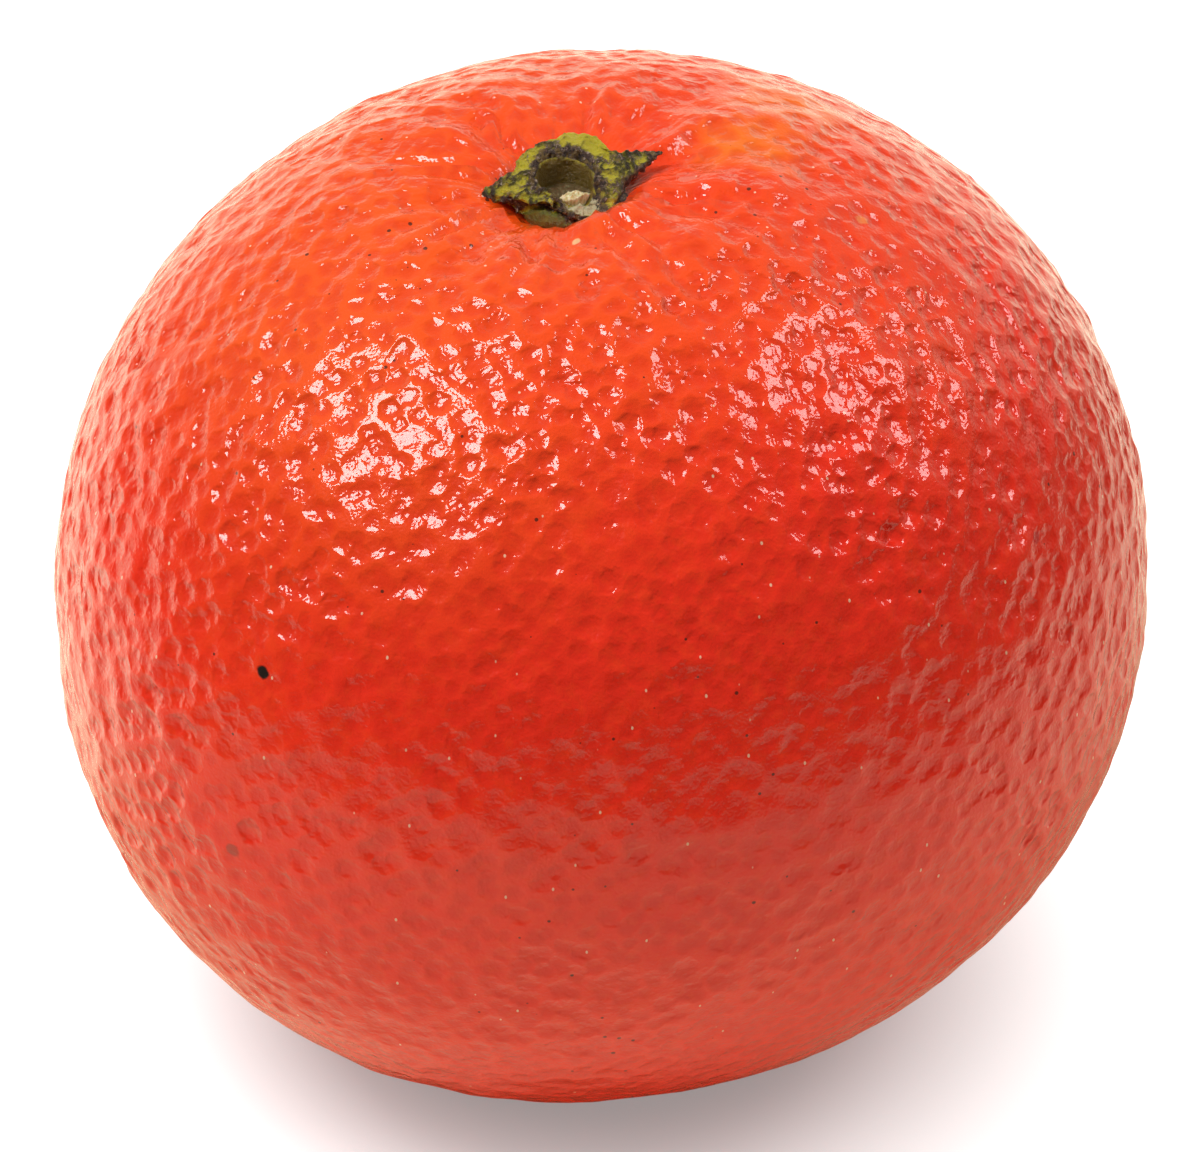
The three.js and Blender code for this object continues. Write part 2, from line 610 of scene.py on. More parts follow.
    def colour(self, graph: Graph, pits: Socket, middle: Vector, height: float) -> Socket:
        """Mixes the peel's colour from its large zones down to its specks, with painted shade in the
        pits.

        Args:
            graph: The material's graph.
            pits: How far into a pit a point lies.
            middle: The fruit's middle.
            height: The fruit's height.

        Returns:
            The colour.
        """
        axes = graph.axes()
        clouds = graph.pattern(Noise.CLOUDS, 16 * MM, 1.0, shift=1.3)
        # More orange towards the top and towards the left, with cloudy patches.
        tone_share = graph.total(
            graph.ease(axes["Z"], 0.68 * height, 1.02 * height, 0.0, 0.52),
            graph.ease(axes["X"], -0.5 * height, 0.5 * height, 0.27, -0.16),
            graph.times(graph.math("SUBTRACT", clouds, 0.5), 0.55),
        )
        colour = graph.blend(graph.ease(tone_share, 0.0, 0.95), self.red, self.orange)
        ragged = graph.times(graph.pattern(Noise.CLOUDS, 2.2 * MM, 3.0, shift=9.2), 5 * MM)
        for patch in self.amber_patches:
            away = graph.vector("DISTANCE", graph.place, tuple(middle + Vector(patch))).outputs["Value"]
            near = graph.ease(graph.math("ADD", away, ragged), 2.5 * MM, 7.5 * MM, 0.85, 0.0)
            colour = graph.blend(near, colour, self.amber)
        # Painted shade: the deep colour darkens each pit towards its middle.
        colour = graph.blend(graph.times(pits, self.pit_shade_share), colour, self.deep)
        mottle = graph.pattern(Noise.CLOUDS, 0.9 * MM, 3.0, shift=5.0, rough=0.65)
        colour = graph.blend(graph.ease(mottle, 0.42, 0.75, 0.0, 0.16), colour, self.orange)
        return self.marks(graph, colour, middle)

    def marks(self, graph: Graph, colour: Socket, middle: Vector) -> Socket:
        """Adds the specks, the dust flecks and the single blemishes.

        Args:
            graph: The material's graph.
            colour: The colour that they are laid on.
            middle: The fruit's middle.

        Returns:
            The marked colour.
        """
        crowd = graph.pattern(Noise.CLOUDS, 7 * MM, 0.0, shift=2.6)
        speck = graph.pattern(Noise.CELLS, 1.5 * MM, 0.0, shift=4.4)
        heart = tuple(middle + Vector(self.swarm))
        swarm = graph.vector("DISTANCE", graph.place, heart).outputs["Value"]
        near = graph.math("SUBTRACT", graph.ease(crowd, 0.40, 0.72, 0.020, 0.080), speck)
        colour = graph.blend(graph.ease(near, -0.01, 0.012, 0.0, 0.85), colour, self.speck)
        tiny = graph.pattern(Noise.CELLS, 0.50 * MM, 0.0, shift=1.9)
        near = graph.math("SUBTRACT", graph.ease(swarm, 0.8 * MM, 3.6 * MM, 0.15, -0.02), tiny)
        colour = graph.blend(graph.ease(near, -0.02, 0.03, 0.0, 0.9), colour, self.speck)
        dust = graph.pattern(Noise.CELLS, 1.3 * MM, 0.0, shift=8.8, stretch=(1.0, 1.0, 0.6))
        colour = graph.blend(graph.ease(dust, 0.035, 0.070, 0.85, 0.0), colour, self.fleck)
        ragged = graph.pattern(Noise.CLOUDS, 0.5 * MM, 1.0, shift=6.0)
        uneven = graph.math("MULTIPLY_ADD", ragged, 0.9, 0.55)
        spoke = graph.vector("SUBTRACT", graph.place, tuple(middle)).outputs[0]
        unit = graph.vector("NORMALIZE", spoke).outputs[0]
        for mark in self.blemishes:
            away = graph.vector("DISTANCE", unit, mark.heading).outputs["Value"]
            edge = graph.times(away, uneven)
            spread = mark.radius / self.mean_radius
            share = graph.ease(edge, 0.6 * spread, spread, mark.strength, 0.0)
            colour = graph.blend(share, colour, mark.colour)
        return colour


@dataclass(frozen=True)
class CalyxFinish:
    """Leathery yellow-green tissue with dark corky crusts and a brown socket; its low places are darkened
    with painted shade and its raised lumps are partly yellowed with a painted highlight.
    """

    green: Colour = (0.080, 0.068, 0.010)
    yellow: Colour = (0.58, 0.50, 0.034)
    olive: Colour = (0.15, 0.15, 0.030)
    cork: Colour = (0.100, 0.058, 0.045)
    cork_warm: Colour = (0.17, 0.105, 0.030)
    cork_pale: Colour = (0.46, 0.36, 0.29)
    # Dark cork tone, also used for the painted shade in the low places.
    cork_dark_and_shade: Colour = (0.022, 0.014, 0.012)
    socket: Colour = (0.17, 0.105, 0.012)
    cream: Colour = (0.62, 0.54, 0.33)
    roughness: float = 0.30

    def material(self) -> bpy.types.Material:
        """Builds the calyx's material.

        Returns:
            The material.
        """
        graph = Graph("calyx_leathery")
        cork = graph.attribute(Calyx.CORK).outputs["Fac"]
        inside = graph.attribute(Calyx.SOCKET).outputs["Fac"]
        wall = graph.attribute(Calyx.WALL).outputs["Fac"]
        blotch = graph.pattern(Noise.CLOUDS, 0.42 * MM, 4.0, shift=1.0, rough=0.6)
        fine = graph.pattern(Noise.CLOUDS, 0.20 * MM, 4.0, shift=2.0, rough=0.66)
        height = graph.attribute(Calyx.HEIGHT).outputs["Fac"]
        # Yellow where the stored height is high (raised relief and the back hump): partly the tissue's
        # own blotchy tone, partly a painted highlight on the tops of the lumps.
        tone_share = graph.total(
            blotch,
            graph.times(height, 0.7),
            graph.times(fine, 0.7),
        )
        flesh = graph.blend(graph.ease(tone_share, 1.00, 1.52), self.green, self.yellow)
        flesh = graph.blend(graph.times(wall, 0.8), flesh, self.olive)
        crust = graph.blend(graph.ease(fine, 0.34, 0.60), self.cork_dark_and_shade, self.cork)
        crust = graph.blend(graph.ease(blotch, 0.46, 0.60), crust, self.cork_warm)
        crust = graph.blend(graph.ease(fine, 0.55, 0.70), crust, self.cork_pale)
        edge = graph.total(cork, graph.times(graph.math("SUBTRACT", fine, 0.5), 1.1))
        crusty = graph.ease(edge, 0.24, 0.48)
        colour = graph.blend(crusty, flesh, crust)
        # Painted shade: the low places of the relief are darkened towards the dark cork colour.
        low = graph.total(height, graph.times(fine, 0.7))
        painted_crevice_shade = graph.ease(low, 0.36, 0.80, 0.85, 0.0)
        colour = graph.blend(painted_crevice_shade, colour, self.cork_dark_and_shade)
        torn = graph.total(graph.attribute(Calyx.TORN).outputs["Fac"], graph.times(fine, 0.8))
        colour = graph.blend(graph.ease(torn, 0.80, 1.0), colour, self.cream)
        colour = graph.blend(inside, colour, self.socket)
        relief = graph.total(
            graph.times(fine, 0.30),
            graph.times(graph.pattern(Noise.CLOUDS, 0.06 * MM, 3.0, shift=5.0), 0.02),
        )
        graph.set(
            Base_Color=colour,
            Roughness=graph.ease(crusty, 0.0, 1.0, self.roughness, 0.55),
            Normal=graph.bump(relief),
            Subsurface_Weight=0.08,
            Subsurface_Scale=0.0004,
        )
        return graph.material


@dataclass(frozen=True)
class WoodFinish:
    """Torn pale fibre, cream high on one side of the socket and brown in its middle and round the other
    sides.
    """

    cream: Colour = (0.80, 0.70, 0.44)
    straw: Colour = (0.50, 0.37, 0.15)
    brown: Colour = (0.10, 0.06, 0.015)
    roughness: float = 0.75

    def material(self) -> bpy.types.Material:
        """Builds the stem wood's material.

        Returns:
            The material.
        """
        graph = Graph("stem_wood_torn")
        brown_share = graph.attribute(StemWood.BROWN_SHARE).outputs["Fac"]
        fibre = graph.pattern(Noise.CLOUDS, 0.14 * MM, 4.0, shift=1.0, stretch=(1.0, 0.7, 0.4))
        colour = graph.blend(graph.ease(fibre, 0.35, 0.65), self.straw, self.cream)
        colour = graph.blend(brown_share, colour, self.brown)
        graph.set(
            Base_Color=colour,
            Roughness=self.roughness,
            Normal=graph.bump(graph.times(fibre, 0.08)),
            Subsurface_Weight=0.3,
            Subsurface_Scale=0.0006,
        )
        return graph.material


# ---------------------------------------------------------------------------------------------
# The fruit


@dataclass(frozen=True)
class Wave:
    """One wave round the stem axis that adds a share of the radius."""

    share: float
    degrees: float
    lobes: int

    def at(self, angle: np.ndarray) -> np.ndarray:
        """The share that the wave adds in each direction."""
        return self.share * np.cos(self.lobes * (angle - math.radians(self.degrees)))


@dataclass(frozen=True)
class FruitForm:
    """The fruit's smooth form: a full-shouldered, lopsided round body with a stem cavity."""

    stem: Vector
    equator_radius: float = 29.45 * MM
    half_height: float = 27.7 * MM
    meridian_power: float = 0.92
    rest_radius: float = 7 * MM
    rest_softness: float = 0.30 * MM
    waves: tuple[Wave, ...] = (Wave(0.05, 30, 1), Wave(0.048, 37, 2), Wave(0.008, -22, 3))
    lean: float = -0.03
    cavity_depth: float = 2.6 * MM
    cavity_width: float = 7 * MM
    pit_depth: float = 0.85 * MM
    pit_radius: float = 3.1 * MM
    pit_edge: float = 0.3 * MM
    lip_height: float = 0.85 * MM
    lip_degrees: float = 318
    scar_radius: float = 1.6 * MM
    scar_depth: float = 0.4 * MM

    @property
    def equator_height(self) -> float:
        """Height of the widest level above the surface that the fruit rests on."""
        latitude = math.acos((self.rest_radius / self.equator_radius) ** (1 / self.meridian_power))
        return self.half_height * math.sin(latitude) ** self.meridian_power

    def place(self, latitude: np.ndarray, angle: np.ndarray) -> np.ndarray:
        """Points of the smooth form.

        Args:
            latitude: Angle up from the equator, in radians.
            angle: Angle round the stem axis, in radians.

        Returns:
            Positions in the frame, one row each.
        """
        radius = self.equator_radius * np.cos(latitude) ** self.meridian_power
        rise = np.sign(latitude) * np.abs(np.sin(latitude)) ** self.meridian_power
        height = self.equator_height + self.half_height * rise
        height = 0.5 * (height + np.sqrt(height**2 + self.rest_softness**2))
        height += self.scar_depth * bell(radius, 0.0, self.scar_radius) * (latitude < 0)
        height -= self.stem_cavity(radius, angle) * (latitude > 0)
        full = 1.0 + sum(wave.at(angle) for wave in self.waves)
        return np.stack([
            radius * full * np.cos(angle) + self.stem.x + self.lean * (height - self.stem.z),
            radius * full * np.sin(angle) + self.stem.y,
            height,
        ], axis=1)

    def stem_cavity(self, radius: np.ndarray, angle: np.ndarray) -> np.ndarray:
        """Depth of the stem cavity below the round body.

        Args:
            radius: Distance from the stem axis.
            angle: Angle round it, in radians.

        Returns:
            The depth, less the lip that stands up on one side of the calyx.
        """
        broad = self.cavity_depth * bell(radius, 0.0, self.cavity_width)
        pit = self.pit_depth / (1.0 + np.exp((radius - self.pit_radius) / self.pit_edge))
        ahead = bell(angle_between(angle, self.lip_degrees), 0.0, 0.75)
        return broad + pit - self.lip_height * ahead * bell(radius, 4.3 * MM, 1.4 * MM)


@dataclass
class Glands:
    """The oil glands: seeded pits of several sizes, spread evenly over the fruit."""

    OFFSETS = ("gland_a", "gland_b", "gland_c")
    DEPTHS = "gland_depths"
    FLATNESS = 3.0

    form: FruitForm
    count: int = 7500
    seed: int = 7
    scatter: float = 0.21
    spacing: float = 1.28 * MM
    depth: float = 0.125 * MM
    sizes: tuple[float, float] = (0.42, 0.70)
    strengths: tuple[float, float] = (0.5, 1.3)
    calm_heading: tuple[float, float, float] = (0.10, -0.995, 0.0)
    calm_share: float = 0.50
    centres: np.ndarray = field(init=False)
    radii: np.ndarray = field(init=False)
    depths: np.ndarray = field(init=False)

    def __post_init__(self) -> None:
        """Places the glands on a spiral, unsettles them and gives each its size."""
        random = np.random.default_rng(self.seed)
        step = np.arange(self.count) + 0.5
        latitude = np.arcsin(1.0 - 2.0 * step / self.count)
        angle = step * math.pi * (3.0 - math.sqrt(5.0))
        spread = self.scatter * self.spacing / self.form.equator_radius
        stray = random.normal(0.0, spread, (2, self.count))
        latitude = np.clip(latitude + stray[0], -math.pi / 2 + 1e-4, math.pi / 2 - 1e-4)
        angle += stray[1] / np.maximum(np.cos(latitude), 0.05)
        self.centres = self.form.place(latitude, angle)
        self.radii = random.uniform(*self.sizes, self.count) * self.spacing
        mean = sum(self.sizes) / 2 * self.spacing
        vigour = random.uniform(*self.strengths, self.count) * (self.radii / mean) ** 1.3
        zones = 1.0 + Ripple(9 * MM, 0.5, seed=31).at(self.centres)
        self.depths = self.depth * vigour * np.clip(zones, 0.8, 1.3) * self.fullness()

    def fullness(self) -> np.ndarray:
        """How fully each gland is sunk: less near the poles, low down and where the peel is smooth.

        Returns:
            The share of the full depth for each gland.
        """
        stem = np.hypot(self.centres[:, 0] - self.form.stem.x, self.centres[:, 1] - self.form.stem.y)
        top = self.centres[:, 2] > self.form.equator_height
        poles = np.where(top, smooth_step(stem, 3.2 * MM, 9 * MM), smooth_step(stem, 1.5 * MM, 8 * MM))
        spoke = self.centres - np.array([0.0, 0.0, self.form.equator_height])
        facing = spoke @ np.array(self.calm_heading) / np.linalg.norm(spoke, axis=1)
        calm = 1.0 - self.calm_share * smooth_step(facing, 0.60, 0.88)
        low = 0.55 + 0.45 * smooth_step(self.centres[:, 2], 6 * MM, 26 * MM)
        return (0.15 + 0.85 * poles) * calm * low

    def nearest(self, points: np.ndarray, count: int = 3) -> np.ndarray:
        """Finds the glands nearest to each point.

        Args:
            points: Positions, one row each.
            count: How many glands for each point.

        Returns:
            Indices of the glands, nearest first, one row for each point.
        """
        tree = kdtree.KDTree(self.count)
        for index, centre in enumerate(self.centres.tolist()):
            tree.insert(centre, index)
        tree.balance()
        return np.array([[hit[1] for hit in tree.find_n(point, count)] for point in points.tolist()])

    def sink(self, points: np.ndarray) -> np.ndarray:
        """Depth of the pits.

        Args:
            points: Points on the smooth form, one row each.

        Returns:
            One depth for each point.
        """
        near = self.nearest(points)
        away = np.linalg.norm(points[:, None, :] - self.centres[near], axis=2) / self.radii[near]
        return (self.depths[near] * np.maximum(1.0 - away**self.FLATNESS, 0.0) ** 2).sum(axis=1)

    def mark(self, piece: bpy.types.Object, points: np.ndarray, faces: np.ndarray) -> None:
        """Stores on each face the offsets and depths of its three nearest glands.

        Args:
            piece: The peel.
            points: The smooth form's points.
            faces: The peel's triangles.
        """
        near = self.nearest(points[faces].mean(axis=1))
        for index, name in enumerate(self.OFFSETS):
            gland = near[:, index]
            offset = (points[faces] - self.centres[gland][:, None, :]) / self.radii[gland][:, None, None]
            store(piece, name, "FLOAT_VECTOR", "CORNER", offset)
        store(piece, self.DEPTHS, "FLOAT_VECTOR", "FACE", self.depths[near] / MM)


@dataclass
class Peel:
    """The fruit's pitted peel as one closed mesh of equal triangles."""

    form: FruitForm
    glands: Glands
    finish: PeelFinish
    rings: int = 156
    geometry_share: float = 0.42
    swell: Ripple = Ripple(6.5 * MM, 0.09 * MM, seed=3)
    dents: Ripple = Ripple(2.9 * MM, 0.09 * MM, seed=11)
    furrow_count: int = 10
    furrow_height: float = 0.16 * MM
    furrow_ring: tuple[float, float] = (8.5 * MM, 4.5 * MM)
    wrinkle_counts: tuple[tuple[int, float], ...] = ((19, 0.4), (27, 2.0), (35, 4.1))
    wrinkle_height: float = 0.14 * MM
    wrinkle_ring: tuple[float, float] = (6.2 * MM, 3.4 * MM)

    def grid(self) -> tuple[np.ndarray, np.ndarray, np.ndarray, np.ndarray]:
        """Lays the rings of an octahedron's equal-area map.

        Ring k from each pole has 4k points, so the triangles have equal areas on a sphere, and the
        map unfolds onto a full square.

        Returns:
            Latitudes, angles, triangles and the square's coordinates for each triangle's corners.
        """
        rings = self.rings
        latitude, angle, starts = [np.array([math.pi / 2])], [np.zeros(1)], [0]
        levels = list(range(1, rings + 1)) + list(range(rings - 1, 0, -1))
        total = 1
        for place, ring in enumerate(levels):
            side = 1 if place < rings else -1
            share = ring / rings
            latitude.append(np.full(4 * ring, side * math.asin(1.0 - share * share)))
            angle.append(np.arange(4 * ring) * TURN / (4 * ring))
            starts.append(total)
            total += 4 * ring
        latitude.append(np.array([-math.pi / 2]))
        angle.append(np.zeros(1))
        starts.append(total)
        faces, corners = [], []
        for side in (1, -1):
            for ring in range(1, rings + 1):
                outer = starts[ring] if side > 0 else starts[2 * rings - ring]
                inner = starts[ring - 1] if side > 0 else starts[2 * rings - ring + 1]
                self.band(side, ring, outer, inner, faces, corners)
        return (np.concatenate(latitude), np.concatenate(angle),
                np.concatenate(faces), np.concatenate(corners))

    def band(self, side: int, ring: int, outer: int, inner: int, faces: list, corners: list) -> None:
        """Fills the triangles between two rings.

        Args:
            side: 1 for the upper half, -1 for the lower.
            ring: The outer ring's number from its pole.
            outer: Index of the outer ring's first point.
            inner: Index of the inner ring's first point.
            faces: List that gets the triangles.
            corners: List that gets their places on the square.
        """
        for quarter in range(4):
            step = np.arange(ring)
            ends = [(ring, step), (ring, step + 1), (ring - 1, step)]
            back = [(ring - 1, step[1:] - 1), (ring, step[1:]), (ring - 1, step[1:])]
            for triangle in (ends, back):
                if side < 0:
                    triangle = triangle[::-1]
                faces.append(np.stack([
                    (outer if level == ring else inner)
                    + (quarter * level + place) % max(4 * level, 1)
                    for level, place in triangle
                ], axis=1))
                corners.append(np.stack([
                    self.unfold(side, quarter, level / self.rings, place / max(level, 1))
                    for level, place in triangle
                ], axis=1))

    @staticmethod
    def unfold(side: int, quarter: int, radius: float, share: np.ndarray) -> np.ndarray:
        """Places points of one octant on the unfolded square.

        Args:
            side: 1 for the upper half, which fills the middle diamond, or -1 for the lower.
            quarter: Which quarter turn the octant is.
            radius: Distance from the pole, as a share of the way to the equator.
            share: How far round the quarter each point lies, from 0 to 1.

        Returns:
            Coordinates from 0 to 1, one row each.
        """
        share = share if quarter % 2 == 0 else 1.0 - share
        across, along = radius * (1.0 - share), radius * share
        if side < 0:
            across, along = 1.0 - along, 1.0 - across
        sign_x = 1 if quarter in (0, 3) else -1
        sign_y = 1 if quarter in (0, 1) else -1
        return np.stack([0.5 + 0.5 * sign_x * across, 0.5 + 0.5 * sign_y * along], axis=1)

    def relief(self, points: np.ndarray) -> np.ndarray:
        """Relief over the smooth form, pits included.

        Args:
            points: The smooth form's points.

        Returns:
            Height along the normal for each point.
        """
        away = points[:, :2] - np.array([self.form.stem.x, self.form.stem.y])
        radius, angle = np.hypot(*away.T), np.arctan2(away[:, 1], away[:, 0])
        top = smooth_step(points[:, 2], self.form.equator_height, self.form.stem.z - 4 * MM)
        free = smooth_step(points[:, 2], 0.15 * MM, 2.5 * MM)
        upper = smooth_step(points[:, 2], 8 * MM, 34 * MM)
        furrows = np.cos(self.furrow_count * angle) * bell(radius, *self.furrow_ring)
        stray = Ripple(5 * MM, 1.0, seed=19).at(points)
        crease = sum(np.cos(count * angle + phase + 2.2 * stray)
                     for count, phase in self.wrinkle_counts)
        wrinkles = crease * bell(radius, *self.wrinkle_ring) * smooth_step(radius, 2.2 * MM, 3.6 * MM)
        relief = self.swell.at(points) + self.dents.at(points) * (0.45 + 0.55 * upper)
        relief -= self.geometry_share * self.glands.sink(points)
        relief += top * (self.furrow_height * furrows + self.wrinkle_height * wrinkles)
        return relief * free

    def build(self, middle: Vector, height: float) -> bpy.types.Object:
        """Builds the peel and dresses it.

        Args:
            middle: The fruit's middle.
            height: The fruit's height.

        Returns:
            The peel.
        """
        latitude, angle, faces, corners = self.grid()
        points = self.form.place(latitude, angle)
        piece = new_piece("peel", points, faces)
        move_points(piece, points + self.relief(points)[:, None] * point_normals(piece))
        self.glands.mark(piece, points, faces)
        chart = piece.data.uv_layers.new(name="OFBake")
        chart.data.foreach_set("uv", corners.astype(np.float32).ravel())
        piece.data.materials.append(self.finish.material(self.form.stem, middle, height))
        return piece


# ---------------------------------------------------------------------------------------------
# The calyx


class Tip(Enum):
    """How a sepal ends."""

    POINTED = "pointed"
    BLUNT = "blunt"


@dataclass(frozen=True)
class Sepal:
    """One lobe of the calyx: where it points, how far, and how it is shaped."""

    degrees: float
    length: float
    half_width: float
    tip: Tip
    lift: float
    thickness: float
    rise: float = 0.0

    def outline(self, angle: np.ndarray, root: float) -> np.ndarray:
        """Reach of the lobe from the stem axis in each direction.

        Args:
            angle: Directions, in radians.
            root: Radius that the lobe grows from.

        Returns:
            The reach, which is the root radius outside the lobe.
        """
        off = np.abs(angle_between(angle, self.degrees))
        half = math.radians(self.half_width)
        if self.tip is Tip.BLUNT:
            return root + (self.length - root) * np.sqrt(np.clip(1.0 - (off / half) ** 2, 0.0, 1.0))
        narrow = math.atan2(root * math.sin(half), self.length - root * math.cos(half))
        straight = self.length * math.sin(narrow) / np.sin(narrow + np.minimum(off, half))
        return np.where(off < half, np.maximum(straight, root), root)

    def share(self, angle: np.ndarray) -> np.ndarray:
        """How much a direction belongs to the lobe, from 0 to 1."""
        return bell(angle_between(angle, self.degrees), 0.0, math.radians(self.half_width) * 0.8)


@dataclass
class Calyx:
    """The five-lobed calyx: a thick green ring round a deep socket, crusted with cork."""

    CORK = "cork"
    HEIGHT = "height"
    TORN = "torn"
    SOCKET = "socket"
    WALL = "wall"

    stem: Vector
    finish: CalyxFinish
    socket_radius: float = 1.45 * MM
    root_radius: float = 2.65 * MM
    foot_radius: float = 2.35 * MM
    rim_height: float = 1.95 * MM
    rim_tilt: float = 0.20
    bare_degrees: float = 246
    bare_depth: float = 0.68 * MM
    bare_rise: float = 0.22 * MM
    bare_thinning: float = 0.12 * MM
    skin: float = 0.35 * MM
    ridge_pitch: float = 0.42 * MM
    notch_degrees: float = 298
    notch_depth: float = 0.50 * MM
    hump_degrees: float = 76
    rough_size: float = 0.26 * MM
    rough_height: float = 0.10 * MM
    lump_size: float = 1.3 * MM
    lump_height: float = 0.15 * MM
    ridge_height: float = 0.09 * MM
    cork_height: float = 0.07 * MM
    columns: int = 420
    steps: int = 11
    sepals: tuple[Sepal, ...] = (
        Sepal(20, 5.55 * MM, 33, Tip.POINTED, 0.15 * MM, 1.00 * MM, 0.34),
        Sepal(70, 3.55 * MM, 34, Tip.BLUNT, 0.55 * MM, 1.10 * MM),
        Sepal(136, 3.05 * MM, 40, Tip.BLUNT, 0.20 * MM, 1.00 * MM),
        Sepal(184, 4.95 * MM, 32, Tip.POINTED, -0.22 * MM, 0.85 * MM),
        Sepal(333, 3.45 * MM, 34, Tip.BLUNT, -0.15 * MM, 1.20 * MM),
    )

    def outline(self) -> tuple[np.ndarray, np.ndarray]:
        """The calyx's edge, sampled evenly along its length.

        Returns:
            Directions in radians and reaches from the stem axis.
        """
        angle = np.linspace(0.0, TURN, 7201)
        reach = np.max([sepal.outline(angle, self.root_radius) for sepal in self.sepals], axis=0)
        reach = reach - self.bare_depth * bell(angle_between(angle, self.bare_degrees), 0.0, 0.62)
        x, y = reach * np.cos(angle), reach * np.sin(angle)
        length = np.concatenate([[0.0], np.cumsum(np.hypot(np.diff(x), np.diff(y)))])
        even = np.linspace(0.0, length[-1], self.columns, endpoint=False)
        return np.interp(even, length, angle), np.interp(even, length, reach)

    def profile(self, angle: np.ndarray, reach: np.ndarray) -> tuple[np.ndarray, np.ndarray]:
        """The calyx's cross-section in each direction, from the socket's floor to its foot.

        Args:
            angle: Directions, in radians.
            reach: The edge's reach in those directions.

        Returns:
            Knots of the section as radii and heights, one row for each knot.
        """
        weights = np.array([sepal.share(angle) for sepal in self.sepals])
        total = np.maximum(weights.sum(axis=0), 0.35)
        lift = sum(w * sepal.lift for w, sepal in zip(weights, self.sepals)) / total
        thick = self.skin + sum(w * (sepal.thickness - self.skin)
                                for w, sepal in zip(weights, self.sepals)) / total
        rim = self.rim_height + self.rim_tilt * self.root_radius * np.sin(angle) * 0.8
        rim -= self.notch_depth * bell(angle_between(angle, self.notch_degrees), 0.0, 0.6)
        root = np.minimum(reach, self.root_radius)
        over = reach - root
        rise = sum(w * sepal.rise for w, sepal in zip(weights, self.sepals)) / total
        bare = bell(angle_between(angle, self.bare_degrees), 0.0, 0.70)
        thick = thick - self.bare_thinning * bare
        edge = rim - self.skin + lift + (rise - 0.12) * over + self.bare_rise * bare
        one = np.ones_like(angle)
        socket, foot = self.socket_radius * one, self.foot_radius * one
        taper = np.clip(1.0 - 0.16 * over / MM, 0.35, 1.0)
        knots = [
            (0.02 * MM * one, 0.25 * MM * one),
            (0.75 * socket, 0.22 * MM * one),
            (0.93 * socket, 0.55 * MM * one),
            (0.98 * socket, 0.70 * rim),
            (1.02 * socket, rim - 0.12 * MM),
            (1.15 * socket, rim + 0.06 * MM),
            ((1.38 - 0.08 * bare) * socket, rim + 0.02 * MM + 0.5 * lift),
            (root + 0.25 * over, rim - 0.08 * MM + 0.8 * lift),
            (root + 0.70 * over, edge + 0.16 * MM - 0.3 * rise * over),
            (reach, edge),
            (reach - 0.14 * MM, edge - 0.55 * thick * taper),
            (root + 0.25 * over, edge - thick * taper),
            (np.maximum(root - 0.12 * MM, foot + 0.02 * MM), edge - thick - 0.1 * MM),
            (foot + 0.15 * MM, 0.5 * MM * one),
            (foot, 0.0 * one),
        ]
        return np.array([k[0] for k in knots]), np.array([k[1] for k in knots])

    @staticmethod
    def curve(knots: np.ndarray, steps: int) -> np.ndarray:
        """Runs a smooth curve through knots.

        Args:
            knots: One row for each knot.
            steps: Points from each knot to the next.

        Returns:
            One row for each point of the curve.
        """
        padded = np.concatenate([knots[:1], knots, knots[-1:]])
        rows = []
        for index in range(len(knots) - 1):
            a, b, c, d = padded[index:index + 4]
            for step in range(steps):
                t = step / steps
                rows.append(0.5 * (2 * b + (c - a) * t + (2 * a - 5 * b + 4 * c - d) * t**2
                                   + (3 * b - a - 3 * c + d) * t**3))
        rows.append(knots[-1])
        return np.array(rows)

    def crust(self, points: np.ndarray, row: np.ndarray, angle: np.ndarray) -> np.ndarray:
        """Where cork has grown: along the rim, on the sepals' edges and in patches.

        Args:
            points: The calyx's points.
            row: How far along the section each point lies, in knots.
            angle: Its direction, in radians.

        Returns:
            The share of cork, from 0 to 1.
        """
        patches = fractal(points, 1.1 * MM, 3, seed=4.0)
        rim = bell(row, 5.2, 0.9) * (0.35 + 0.75 * bell(angle_between(angle, 60), 0.0, 1.2))
        edges = bell(row, 9.6, 1.0) * (0.55 + 0.5 * patches)
        strip = bell(row, 8.2, 1.1) * bell(angle_between(angle, 275), 0.0, 0.65)
        blunt = bell(angle_between(angle, 333), 0.0, 0.5) * smooth_step(row, 5.5, 7.5) * 0.55
        tips = smooth_step(np.hypot(points[:, 0] - self.stem.x, points[:, 1] - self.stem.y),
                           4.3 * MM, 5.4 * MM)
        hump = bell(angle_between(angle, self.hump_degrees), 0.0, 0.55) * smooth_step(row, 6.0, 7.5)
        wanted = rim + edges + strip + blunt + 0.7 * tips + 0.45 * patches + 0.10 - 0.6 * hump
        return np.clip(wanted * (row > 3.8) * (row < 12.6), 0.0, 1.0)

